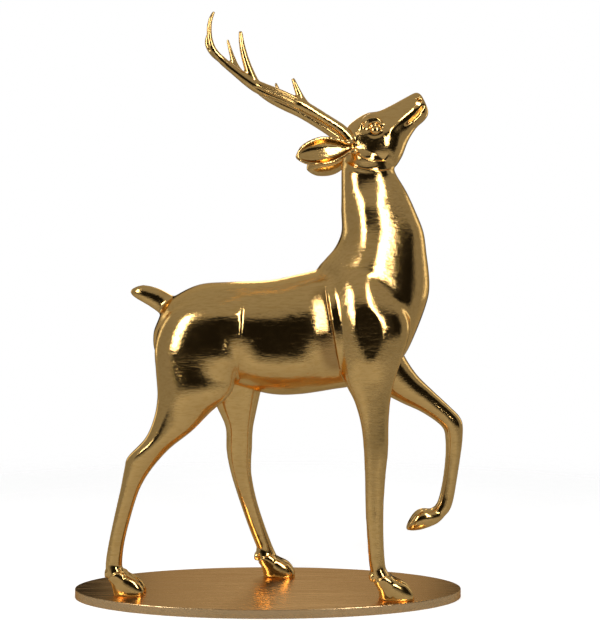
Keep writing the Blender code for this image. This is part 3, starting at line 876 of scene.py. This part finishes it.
# The big muscles. Broad, shallow ridges round the flank, shoulder and thigh, and a step behind the
# shoulder and another before the thigh part them from the barrel.
SHOULDER_BACK = ((21.2, 117.0), (22.3, 108.0), (24.1, 97.1), (25.9, 86.3), (27.6, 78.0))
SHOULDER_LINE = ((37.2, 152.0), (38.2, 140.0), (38.2, 128.0), (36.5, 118.0), (34.8, 107.0), (35.0, 97.0),
                 (36.4, 87.0), (37.4, 77.0))
LOW_FLANK = ((-11.0, 84.0), (0.0, 82.8), (10.0, 83.0), (20.0, 84.8))
THIGH_LINE = ((-8.9, 112.0), (-8.9, 106.0), (-9.2, 97.0), (-9.8, 88.0), (-11.2, 78.6))
THIGH_EDGE = ((-16.8, 111.0), (-15.6, 105.0), (-15.2, 97.0), (-15.6, 88.0), (-17.4, 78.0))
FAR_THIGH_LINE = ((-4.6, 110.0), (-3.6, 104.0), (-3.2, 95.0), (-3.4, 88.1), (-4.6, 79.0))
FAR_THIGH_EDGE = ((-12.6, 108.0), (-11.0, 102.0), (-9.8, 95.0), (-9.6, 87.0), (-10.8, 79.0))
STIFLE = ((-38.0, 78.0), (-26.0, 74.5), (-14.0, 78.0))

BODY = []
for side, thigh_line, thigh_edge in ((-1, THIGH_LINE, THIGH_EDGE), (1, FAR_THIGH_LINE, FAR_THIGH_EDGE)):
    BODY += [
        dict(side=side, path=LOW_FLANK, width=7.0, depth=2.0, fade=0.3),
        dict(side=side, path=SHOULDER_LINE, width=5.8, depth=1.05, fade=0.14),
        dict(side=side, path=SHOULDER_BACK[::-1], width=0.8, depth=-1.4, spread=5.2, fade=0.3),
        dict(side=side, path=thigh_edge, width=6.3, depth=1.8, fade=0.3),
        dict(side=side, path=thigh_line[::-1], width=0.7, depth=0.4, spread=5.0, fade=0.3),
        dict(side=side, path=STIFLE, width=6.5, depth=1.25, fade=0.5),
    ]

# Three flutes run along each antler's beam, each point of its middle flute as (x, z, slant).
FLUTE_STEPS = (-1.2, 0.0, 1.2)
FLUTED_BEAMS = (
    (-1, ((12.6, 179.9, 0.3), (6.4, 182.9, 0.3), (1.0, 184.9, 0.3), (-4.6, 187.6, 0.4))),
    (1, ((8.6, 183.2, 0.3), (3.4, 186.0, 0.3), (-3.0, 190.2, 0.3), (-9.0, 195.2, 0.4))),
)
FLUTES = []
for step in FLUTE_STEPS:
    for side, beam in FLUTED_BEAMS:
        FLUTES.append(dict(side=side, width=0.42, depth=-0.4, least_out=4.0,
                           path=[(x + slant * step, z + step) for x, z, slant in beam]))

# Each hoof's horn stands proud of the skin above it, along the coronet.
CORONET = ((5.6, 7.9), (3.2, 8.4), (1.0, 8.0), (-0.8, 6.8), (-2.2, 5.0))
HORN = []
for ankle_x, ankle_y, reach in ANKLES:
    for side in (-1, 1):
        HORN.append(dict(side=side, width=0.5, depth=0.4, spread=2.6, fade=0.12, least_out=-50.0,
                         path=[(ankle_x + x * reach, z) for x, z in CORONET]))

depths = carve(stag, FACE + BODY + FLUTES + HORN)

# The hollow of each groove is kept for the leaf's colour, which carries painted shade there: the grooves
# are darkened towards brown.
hollow = stag.data.attributes.new("hollow", 'FLOAT', 'POINT')
hollow.data.foreach_set("value", np.clip((-depths - 0.15) / 0.5, 0.0, 1.0).astype(np.float32))

# The soles are cut flat just above the plate and closed, and the skin is thinned where it is flat.
sole_bm = bmesh.new()
sole_bm.from_mesh(stag.data)
bmesh.ops.bisect_plane(sole_bm, geom=sole_bm.verts[:] + sole_bm.edges[:] + sole_bm.faces[:], dist=1e-6,
                       plane_co=(0.0, 0.0, SOLE_LEVEL), plane_no=(0.0, 0.0, 1.0), clear_inner=True)
bmesh.ops.holes_fill(sole_bm, edges=[edge for edge in sole_bm.edges if edge.is_boundary], sides=0)
bmesh.ops.triangulate(sole_bm, faces=sole_bm.faces[:])
sole_bm.to_mesh(stag.data)
sole_bm.free()
if len(stag.data.polygons) > SKIN_TRIANGLES:
    thin = stag.modifiers.new("thin", 'DECIMATE')
    thin.ratio = SKIN_TRIANGLES / len(stag.data.polygons)
    settle(stag)

# The eyes are polished balls set under the brows.
eye_bm = bmesh.new()
eye_bm.from_mesh(stag.data)
for side in (-1, 1):
    (x, out_y, z), diameters = EYEBALL
    oval_ball(eye_bm, (x, side * out_y, z), diameters)
eye_bm.to_mesh(stag.data)
eye_bm.free()

# Nothing of the skin reaches past the solid's own box.
low, high = (np.array(corner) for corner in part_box("stag"))
co = points_of(stag.data)
co = np.minimum(np.maximum(co, low), high)
set_points(stag.data, co)
stag.data.shade_smooth()


def leaf_wrinkles():
    """The fine lie of hand laid leaf: soft dents, hair lines and a mask of thinner leaf."""
    group = bpy.data.node_groups.new("leaf_wrinkles", 'ShaderNodeTree')
    group.interface.new_socket("Dent Scale", in_out='INPUT', socket_type='NodeSocketFloat')
    group.interface.new_socket("Hair Scale", in_out='INPUT', socket_type='NodeSocketFloat')
    group.interface.new_socket("Hair Stretch", in_out='INPUT', socket_type='NodeSocketVector')
    group.interface.new_socket("Height", in_out='OUTPUT', socket_type='NodeSocketFloat')
    group.interface.new_socket("Thin", in_out='OUTPUT', socket_type='NodeSocketFloat')
    given = group.nodes.new("NodeGroupInput")
    result = group.nodes.new("NodeGroupOutput")
    where = group.nodes.new("ShaderNodeTexCoord")
    dents = add_node(group, "ShaderNodeTexNoise", values={"Detail": 3.0, "Roughness": 0.5})
    group.links.new(where.outputs["Object"], dents.inputs["Vector"])
    group.links.new(given.outputs["Dent Scale"], dents.inputs["Scale"])
    stretch = add_node(group, "ShaderNodeVectorMath", operation='MULTIPLY')
    group.links.new(where.outputs["Object"], stretch.inputs[0])
    group.links.new(given.outputs["Hair Stretch"], stretch.inputs[1])
    hairs = add_node(group, "ShaderNodeTexNoise",
                     values={"Detail": 4.0, "Roughness": 0.65, "Distortion": 0.4})
    group.links.new(stretch.outputs[0], hairs.inputs["Vector"])
    group.links.new(given.outputs["Hair Scale"], hairs.inputs["Scale"])
    height = add_node(group, "ShaderNodeMix", data_type='FLOAT', values={0: 0.35})
    group.links.new(dents.outputs["Fac"], height.inputs[2])
    group.links.new(hairs.outputs["Fac"], height.inputs[3])
    group.links.new(height.outputs[0], result.inputs["Height"])
    thin = add_node(group, "ShaderNodeMapRange", interpolation_type='SMOOTHSTEP',
                    values={"From Min": 0.42, "From Max": 0.68})
    group.links.new(hairs.outputs["Fac"], thin.inputs["Value"])
    group.links.new(thin.outputs["Result"], result.inputs["Thin"])
    return group


LEAF_GOLD = (0.88, 0.56, 0.20, 1.0)
DEEP_GOLD = (0.80, 0.49, 0.16, 1.0)
# the brown of the painted shade laid in the grooves
GROOVE_SHADE_BROWN = (0.20, 0.085, 0.03, 1.0)
LEAF_TINT = (0.95, 0.78, 0.55, 1.0)
# how far the painted shade darkens the deepest grooves
GROOVE_SHADE_SHARE = 0.5
LEGS_ROUGH_FROM = (0.55, 0.90)
ANTLERS_SMOOTH_FROM = (1.68, 1.82)
BURNISHED = 0.25

wrinkles = leaf_wrinkles()
gold_leaf = bpy.data.materials.new("gold_leaf")
gold_leaf.use_nodes = True
tree = gold_leaf.node_tree
leaf = tree.nodes["Principled BSDF"]
leaf.inputs["Metallic"].default_value = 1.0
leaf.inputs["Specular Tint"].default_value = LEAF_TINT
lie = add_node(tree, "ShaderNodeGroup", node_tree=wrinkles)
lie.inputs["Dent Scale"].default_value = 24.0
lie.inputs["Hair Scale"].default_value = 120.0
lie.inputs["Hair Stretch"].default_value = (0.22, 1.0, 1.0)
tone = add_node(tree, "ShaderNodeMix", data_type='RGBA')
tone.inputs[6].default_value = LEAF_GOLD
tone.inputs[7].default_value = DEEP_GOLD
tree.links.new(lie.outputs["Thin"], tone.inputs[0])
# painted shade: each groove's hollow darkens the leaf towards brown
cut = add_node(tree, "ShaderNodeAttribute", attribute_name="hollow")
groove_shaded = add_node(tree, "ShaderNodeMix", data_type='RGBA')
groove_shaded.inputs[7].default_value = GROOVE_SHADE_BROWN
groove_shade_amount = add_node(tree, "ShaderNodeMath", operation='MULTIPLY')
groove_shade_amount.inputs[1].default_value = GROOVE_SHADE_SHARE
tree.links.new(cut.outputs["Fac"], groove_shade_amount.inputs[0])
tree.links.new(groove_shade_amount.outputs[0], groove_shaded.inputs[0])
tree.links.new(tone.outputs[2], groove_shaded.inputs[6])
tree.links.new(groove_shaded.outputs[2], leaf.inputs["Base Color"])
polish = add_node(tree, "ShaderNodeMapRange", values={"To Min": 0.09, "To Max": 0.15})
tree.links.new(lie.outputs["Thin"], polish.inputs["Value"])
tree.links.new(polish.outputs["Result"], leaf.inputs["Roughness"])
bump = add_node(tree, "ShaderNodeBump", values={"Distance": 0.0016})
tree.links.new(lie.outputs["Height"], bump.inputs["Height"])
# the leaf lies rough on the big body and is burnished smooth on the slender legs and the antlers
place_of = tree.nodes.new("ShaderNodeTexCoord")
height_of = tree.nodes.new("ShaderNodeSeparateXYZ")
tree.links.new(place_of.outputs["Object"], height_of.inputs[0])
rough = add_node(tree, "ShaderNodeMapRange", interpolation_type='SMOOTHSTEP',
                 values={"From Min": LEGS_ROUGH_FROM[0], "From Max": LEGS_ROUGH_FROM[1],
                         "To Min": BURNISHED, "To Max": 1.0})
tree.links.new(height_of.outputs["Z"], rough.inputs["Value"])
burnished = add_node(tree, "ShaderNodeMapRange", interpolation_type='SMOOTHSTEP',
                     values={"From Min": ANTLERS_SMOOTH_FROM[0], "From Max": ANTLERS_SMOOTH_FROM[1],
                             "To Min": 1.0, "To Max": BURNISHED})
tree.links.new(height_of.outputs["Z"], burnished.inputs["Value"])
on_body = add_node(tree, "ShaderNodeMath", operation='MULTIPLY')
tree.links.new(rough.outputs["Result"], on_body.inputs[0])
tree.links.new(burnished.outputs["Result"], on_body.inputs[1])
tree.links.new(on_body.outputs["Value"], bump.inputs["Strength"])
tree.links.new(bump.outputs["Normal"], leaf.inputs["Normal"])
stag.data.materials.clear()
stag.data.materials.append(gold_leaf)

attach(stag, "root")
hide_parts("stag")

# The base plate. A thin oval plate with an eased edge that carries the three standing hooves. It is
# gilded like the stag and brushed lengthwise to a satin.
SATIN_GOLD = (0.82, 0.56, 0.29, 1.0)
SATIN_SHADE = (0.76, 0.51, 0.25, 1.0)
SATIN_TINT = (0.90, 0.60, 0.35, 1.0)

brushed = bpy.data.materials.new("brushed_gold_leaf")
brushed.use_nodes = True
tree = brushed.node_tree
satin = tree.nodes["Principled BSDF"]
satin.inputs["Metallic"].default_value = 1.0
satin.inputs["Specular Tint"].default_value = SATIN_TINT
strokes = add_node(tree, "ShaderNodeGroup", node_tree=wrinkles)
strokes.inputs["Dent Scale"].default_value = 9.0
strokes.inputs["Hair Scale"].default_value = 130.0
strokes.inputs["Hair Stretch"].default_value = (0.02, 1.0, 1.0)
shade_of = add_node(tree, "ShaderNodeMix", data_type='RGBA')
shade_of.inputs[6].default_value = SATIN_GOLD
shade_of.inputs[7].default_value = SATIN_SHADE
tree.links.new(strokes.outputs["Thin"], shade_of.inputs[0])
tree.links.new(shade_of.outputs[2], satin.inputs["Base Color"])
brush = add_node(tree, "ShaderNodeMapRange", values={"To Min": 0.22, "To Max": 0.38})
tree.links.new(strokes.outputs["Thin"], brush.inputs["Value"])
tree.links.new(brush.outputs["Result"], satin.inputs["Roughness"])
grain = add_node(tree, "ShaderNodeBump", values={"Strength": 0.10, "Distance": 0.003})
tree.links.new(strokes.outputs["Height"], grain.inputs["Height"])
tree.links.new(grain.outputs["Normal"], satin.inputs["Normal"])
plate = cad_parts["base_plate"]
plate.data.materials.clear()
plate.data.materials.append(brushed)
